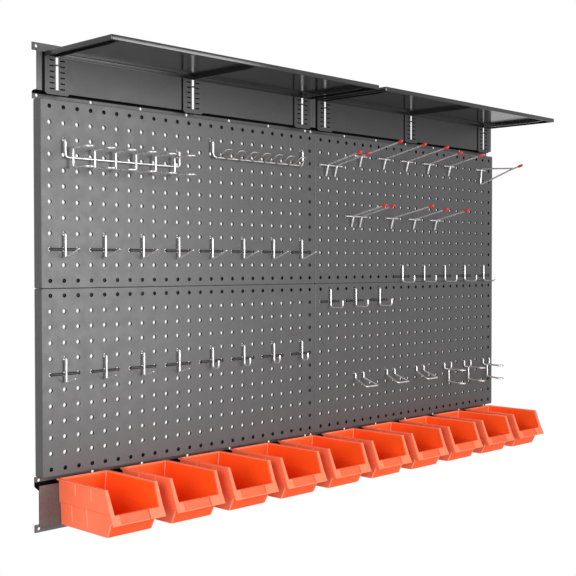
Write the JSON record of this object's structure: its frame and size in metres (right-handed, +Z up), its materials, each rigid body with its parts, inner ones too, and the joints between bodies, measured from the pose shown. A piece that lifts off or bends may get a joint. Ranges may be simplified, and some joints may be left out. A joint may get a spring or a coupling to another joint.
{
  "type": "pegboard tool wall",
  "caption": "Wall-hung perforated steel tool board with slotted shelf backs, shelves, assorted wire hooks, plier and screwdriver racks, and open-fronted plastic bins on the lower rail.",
  "frame": {"origin": "on the wall plane, on the back of the top-left rail: its upper flange's screw line, midway between that rail's last two screw holes", "axes": "+X to the right along the wall, +Y into the wall, +Z up; the board faces -Y"},
  "size_m": [1.236, 0.196, 0.7718],
  "materials": {
    "grey_paint": "fine-textured satin powder coat",
    "chrome_wire": "bright plated wire, long prongs tipped in red",
    "orange_plastic": "semi-gloss moulded plastic"
  },
  "bodies": {
    "wall_board": {"panel_upper_left": "grey_paint", "panel_upper_right": "grey_paint", "panel_lower_left": "grey_paint", "panel_lower_right": "grey_paint", "rail_top_left": "grey_paint", "rail_top_right": "grey_paint", "rail_bottom_left": "grey_paint", "rail_bottom_right": "grey_paint", "shelf_back_left": "grey_paint", "shelf_back_right": "grey_paint"},
    "shelf_tray_left": {"shelf_tray_left": "grey_paint"},
    "shelf_tray_right": {"shelf_tray_right": "grey_paint"},
    "bin_01": {"bin_01": "orange_plastic"},
    "bin_02": {"bin_02": "orange_plastic"},
    "bin_03": {"bin_03": "orange_plastic"},
    "bin_04": {"bin_04": "orange_plastic"},
    "bin_05": {"bin_05": "orange_plastic"},
    "bin_06": {"bin_06": "orange_plastic"},
    "bin_07": {"bin_07": "orange_plastic"},
    "bin_08": {"bin_08": "orange_plastic"},
    "bin_09": {"bin_09": "orange_plastic"},
    "bin_10": {"bin_10": "orange_plastic"},
    "straight_hook_01": {"straight_hook_01": "chrome_wire"},
    "straight_hook_02": {"straight_hook_02": "chrome_wire"},
    "straight_hook_03": {"straight_hook_03": "chrome_wire"},
    "straight_hook_04": {"straight_hook_04": "chrome_wire"},
    "straight_hook_05": {"straight_hook_05": "chrome_wire"},
    "straight_hook_06": {"straight_hook_06": "chrome_wire"},
    "straight_hook_07": {"straight_hook_07": "chrome_wire"},
    "straight_hook_08": {"straight_hook_08": "chrome_wire"},
    "straight_hook_09": {"straight_hook_09": "chrome_wire"},
    "straight_hook_10": {"straight_hook_10": "chrome_wire"},
    "straight_hook_11": {"straight_hook_11": "chrome_wire"},
    "straight_hook_12": {"straight_hook_12": "chrome_wire"},
    "round_cup_hook_1": {"round_cup_hook_1": "chrome_wire"},
    "round_cup_hook_2": {"round_cup_hook_2": "chrome_wire"},
    "round_cup_hook_3": {"round_cup_hook_3": "chrome_wire"},
    "round_cup_hook_4": {"round_cup_hook_4": "chrome_wire"},
    "flat_cup_hook_1": {"flat_cup_hook_1": "chrome_wire"},
    "flat_cup_hook_2": {"flat_cup_hook_2": "chrome_wire"},
    "flat_cup_hook_3": {"flat_cup_hook_3": "chrome_wire"},
    "saddle_hook_1": {"saddle_hook_1": "chrome_wire"},
    "saddle_hook_2": {"saddle_hook_2": "chrome_wire"},
    "saddle_hook_3": {"saddle_hook_3": "chrome_wire"},
    "plier_hook_1": {"plier_hook_1": "chrome_wire"},
    "plier_hook_2": {"plier_hook_2": "chrome_wire"},
    "plier_hook_3": {"plier_hook_3": "chrome_wire"},
    "prong_hook_1": {"prong_hook_1": "chrome_wire"},
    "prong_hook_2": {"prong_hook_2": "chrome_wire"},
    "prong_hook_3": {"prong_hook_3": "chrome_wire"},
    "prong_hook_4": {"prong_hook_4": "chrome_wire"},
    "prong_hook_5": {"prong_hook_5": "chrome_wire"},
    "prong_hook_6": {"prong_hook_6": "chrome_wire"},
    "prong_hook_7": {"prong_hook_7": "chrome_wire"},
    "prong_hook_8": {"prong_hook_8": "chrome_wire"},
    "double_prong_hook_1": {"double_prong_hook_1": "chrome_wire"},
    "double_prong_hook_2": {"double_prong_hook_2": "chrome_wire"},
    "braced_hook": {"braced_hook": "chrome_wire"},
    "plier_rack": {"plier_rack": "chrome_wire"},
    "tool_rail": {"tool_rail": "chrome_wire"}
  },
  "joints": [
    {"name": "shelf_tray_left_lift", "type": "slide", "parent": "wall_board", "child": "shelf_tray_left", "axis": [0, 0, 1], "range_m": [0, 0.01]},
    {"name": "shelf_tray_right_lift", "type": "slide", "parent": "wall_board", "child": "shelf_tray_right", "axis": [0, 0, 1], "range_m": [0, 0.01]},
    {"name": "bin_01_lift", "type": "slide", "parent": "wall_board", "child": "bin_01", "axis": [0, -0.8, 0.6], "range_m": [0, 0.05]},
    {"name": "bin_02_lift", "type": "slide", "parent": "wall_board", "child": "bin_02", "axis": [0, -0.8, 0.6], "range_m": [0, 0.05]},
    {"name": "bin_03_lift", "type": "slide", "parent": "wall_board", "child": "bin_03", "axis": [0, -0.8, 0.6], "range_m": [0, 0.05]},
    {"name": "bin_04_lift", "type": "slide", "parent": "wall_board", "child": "bin_04", "axis": [0, -0.8, 0.6], "range_m": [0, 0.05]},
    {"name": "bin_05_lift", "type": "slide", "parent": "wall_board", "child": "bin_05", "axis": [0, -0.8, 0.6], "range_m": [0, 0.05]},
    {"name": "bin_06_lift", "type": "slide", "parent": "wall_board", "child": "bin_06", "axis": [0, -0.8, 0.6], "range_m": [0, 0.05]},
    {"name": "bin_07_lift", "type": "slide", "parent": "wall_board", "child": "bin_07", "axis": [0, -0.8, 0.6], "range_m": [0, 0.05]},
    {"name": "bin_08_lift", "type": "slide", "parent": "wall_board", "child": "bin_08", "axis": [0, -0.8, 0.6], "range_m": [0, 0.05]},
    {"name": "bin_09_lift", "type": "slide", "parent": "wall_board", "child": "bin_09", "axis": [0, -0.8, 0.6], "range_m": [0, 0.05]},
    {"name": "bin_10_lift", "type": "slide", "parent": "wall_board", "child": "bin_10", "axis": [0, -0.8, 0.6], "range_m": [0, 0.05]},
    {"name": "straight_hook_01_tilt", "type": "hinge", "parent": "wall_board", "child": "straight_hook_01", "pos_m": [-0.51635, -0.0204, -0.29345], "axis": [-1, 0, 0], "range_deg": [0, 30]},
    {"name": "straight_hook_02_tilt", "type": "hinge", "parent": "wall_board", "child": "straight_hook_02", "pos_m": [-0.44015, -0.0204, -0.29345], "axis": [-1, 0, 0], "range_deg": [0, 30]},
    {"name": "straight_hook_03_tilt", "type": "hinge", "parent": "wall_board", "child": "straight_hook_03", "pos_m": [-0.36395, -0.0204, -0.29345], "axis": [-1, 0, 0], "range_deg": [0, 30]},
    {"name": "straight_hook_04_tilt", "type": "hinge", "parent": "wall_board", "child": "straight_hook_04", "pos_m": [-0.28775, -0.0204, -0.29345], "axis": [-1, 0, 0], "range_deg": [0, 30]},
    {"name": "straight_hook_05_tilt", "type": "hinge", "parent": "wall_board", "child": "straight_hook_05", "pos_m": [-0.21155, -0.0204, -0.29345], "axis": [-1, 0, 0], "range_deg": [0, 30]},
    {"name": "straight_hook_06_tilt", "type": "hinge", "parent": "wall_board", "child": "straight_hook_06", "pos_m": [-0.13535, -0.0204, -0.29345], "axis": [-1, 0, 0], "range_deg": [0, 30]},
    {"name": "straight_hook_07_tilt", "type": "hinge", "parent": "wall_board", "child": "straight_hook_07", "pos_m": [-0.05915, -0.0204, -0.29345], "axis": [-1, 0, 0], "range_deg": [0, 30]},
    {"name": "straight_hook_08_tilt", "type": "hinge", "parent": "wall_board", "child": "straight_hook_08", "pos_m": [0.01705, -0.0204, -0.29345], "axis": [-1, 0, 0], "range_deg": [0, 30]},
    {"name": "straight_hook_09_tilt", "type": "hinge", "parent": "wall_board", "child": "straight_hook_09", "pos_m": [-0.51635, -0.0204, -0.49105], "axis": [-1, 0, 0], "range_deg": [0, 30]},
    {"name": "straight_hook_10_tilt", "type": "hinge", "parent": "wall_board", "child": "straight_hook_10", "pos_m": [-0.44015, -0.0204, -0.49105], "axis": [-1, 0, 0], "range_deg": [0, 30]},
    {"name": "straight_hook_11_tilt", "type": "hinge", "parent": "wall_board", "child": "straight_hook_11", "pos_m": [-0.36395, -0.0204, -0.49105], "axis": [-1, 0, 0], "range_deg": [0, 30]},
    {"name": "straight_hook_12_tilt", "type": "hinge", "parent": "wall_board", "child": "straight_hook_12", "pos_m": [-0.28775, -0.0204, -0.49105], "axis": [-1, 0, 0], "range_deg": [0, 30]},
    {"name": "round_cup_hook_1_tilt", "type": "hinge", "parent": "wall_board", "child": "round_cup_hook_1", "pos_m": [-0.21155, -0.0204, -0.49105], "axis": [-1, 0, 0], "range_deg": [0, 30]},
    {"name": "round_cup_hook_2_tilt", "type": "hinge", "parent": "wall_board", "child": "round_cup_hook_2", "pos_m": [-0.13535, -0.0204, -0.49105], "axis": [-1, 0, 0], "range_deg": [0, 30]},
    {"name": "round_cup_hook_3_tilt", "type": "hinge", "parent": "wall_board", "child": "round_cup_hook_3", "pos_m": [-0.05915, -0.0204, -0.49105], "axis": [-1, 0, 0], "range_deg": [0, 30]},
    {"name": "round_cup_hook_4_tilt", "type": "hinge", "parent": "wall_board", "child": "round_cup_hook_4", "pos_m": [0.01705, -0.0204, -0.49105], "axis": [-1, 0, 0], "range_deg": [0, 30]},
    {"name": "flat_cup_hook_1_tilt", "type": "hinge", "parent": "wall_board", "child": "flat_cup_hook_1", "pos_m": [0.09935, -0.0204, -0.39145], "axis": [-1, 0, 0], "range_deg": [0, 30]},
    {"name": "flat_cup_hook_2_tilt", "type": "hinge", "parent": "wall_board", "child": "flat_cup_hook_2", "pos_m": [0.17555, -0.0204, -0.39145], "axis": [-1, 0, 0], "range_deg": [0, 30]},
    {"name": "flat_cup_hook_3_tilt", "type": "hinge", "parent": "wall_board", "child": "flat_cup_hook_3", "pos_m": [0.25175, -0.0204, -0.39145], "axis": [-1, 0, 0], "range_deg": [0, 30]},
    {"name": "saddle_hook_1_tilt", "type": "hinge", "parent": "wall_board", "child": "saddle_hook_1", "pos_m": [0.17555, -0.0204, -0.56575], "axis": [-1, 0, 0], "range_deg": [0, 30]},
    {"name": "saddle_hook_2_tilt", "type": "hinge", "parent": "wall_board", "child": "saddle_hook_2", "pos_m": [0.27715, -0.0204, -0.56575], "axis": [-1, 0, 0], "range_deg": [0, 30]},
    {"name": "saddle_hook_3_tilt", "type": "hinge", "parent": "wall_board", "child": "saddle_hook_3", "pos_m": [0.37875, -0.0204, -0.56575], "axis": [-1, 0, 0], "range_deg": [0, 30]},
    {"name": "plier_hook_1_tilt", "type": "hinge", "parent": "wall_board", "child": "plier_hook_1", "pos_m": [0.48035, -0.0204, -0.56575], "axis": [-1, 0, 0], "range_deg": [0, 30]},
    {"name": "plier_hook_2_tilt", "type": "hinge", "parent": "wall_board", "child": "plier_hook_2", "pos_m": [0.55655, -0.0204, -0.56575], "axis": [-1, 0, 0], "range_deg": [0, 30]},
    {"name": "plier_hook_3_tilt", "type": "hinge", "parent": "wall_board", "child": "plier_hook_3", "pos_m": [0.63275, -0.0204, -0.56575], "axis": [-1, 0, 0], "range_deg": [0, 30]},
    {"name": "prong_hook_1_tilt", "type": "hinge", "parent": "wall_board", "child": "prong_hook_1", "pos_m": [0.17555, -0.0204, -0.11915], "axis": [-1, 0, 0], "range_deg": [0, 20]},
    {"name": "prong_hook_2_tilt", "type": "hinge", "parent": "wall_board", "child": "prong_hook_2", "pos_m": [0.25175, -0.0204, -0.11915], "axis": [-1, 0, 0], "range_deg": [0, 20]},
    {"name": "prong_hook_3_tilt", "type": "hinge", "parent": "wall_board", "child": "prong_hook_3", "pos_m": [0.32795, -0.0204, -0.11915], "axis": [-1, 0, 0], "range_deg": [0, 20]},
    {"name": "prong_hook_4_tilt", "type": "hinge", "parent": "wall_board", "child": "prong_hook_4", "pos_m": [0.40415, -0.0204, -0.11915], "axis": [-1, 0, 0], "range_deg": [0, 20]},
    {"name": "prong_hook_5_tilt", "type": "hinge", "parent": "wall_board", "child": "prong_hook_5", "pos_m": [0.48035, -0.0204, -0.11915], "axis": [-1, 0, 0], "range_deg": [0, 20]},
    {"name": "prong_hook_6_tilt", "type": "hinge", "parent": "wall_board", "child": "prong_hook_6", "pos_m": [0.27715, -0.0204, -0.24365], "axis": [-1, 0, 0], "range_deg": [0, 20]},
    {"name": "prong_hook_7_tilt", "type": "hinge", "parent": "wall_board", "child": "prong_hook_7", "pos_m": [0.35335, -0.0204, -0.24365], "axis": [-1, 0, 0], "range_deg": [0, 20]},
    {"name": "prong_hook_8_tilt", "type": "hinge", "parent": "wall_board", "child": "prong_hook_8", "pos_m": [0.42955, -0.0204, -0.24365], "axis": [-1, 0, 0], "range_deg": [0, 20]},
    {"name": "double_prong_hook_1_tilt", "type": "hinge", "parent": "wall_board", "child": "double_prong_hook_1", "pos_m": [0.07395, -0.0204, -0.14405], "axis": [-1, 0, 0], "range_deg": [0, 20]},
    {"name": "double_prong_hook_2_tilt", "type": "hinge", "parent": "wall_board", "child": "double_prong_hook_2", "pos_m": [0.15015, -0.0204, -0.24365], "axis": [-1, 0, 0], "range_deg": [0, 20]},
    {"name": "braced_hook_tilt", "type": "hinge", "parent": "wall_board", "child": "braced_hook", "pos_m": [0.60735, -0.0204, -0.11915], "axis": [-1, 0, 0], "range_deg": [0, 20]},
    {"name": "plier_rack_tilt", "type": "hinge", "parent": "wall_board", "child": "plier_rack", "pos_m": [-0.51635, -0.0204, -0.14405], "axis": [-1, 0, 0], "range_deg": [0, 30]},
    {"name": "tool_rail_tilt", "type": "hinge", "parent": "wall_board", "child": "tool_rail", "pos_m": [-0.21155, -0.0204, -0.11915], "axis": [-1, 0, 0], "range_deg": [0, 30]}
  ]
}
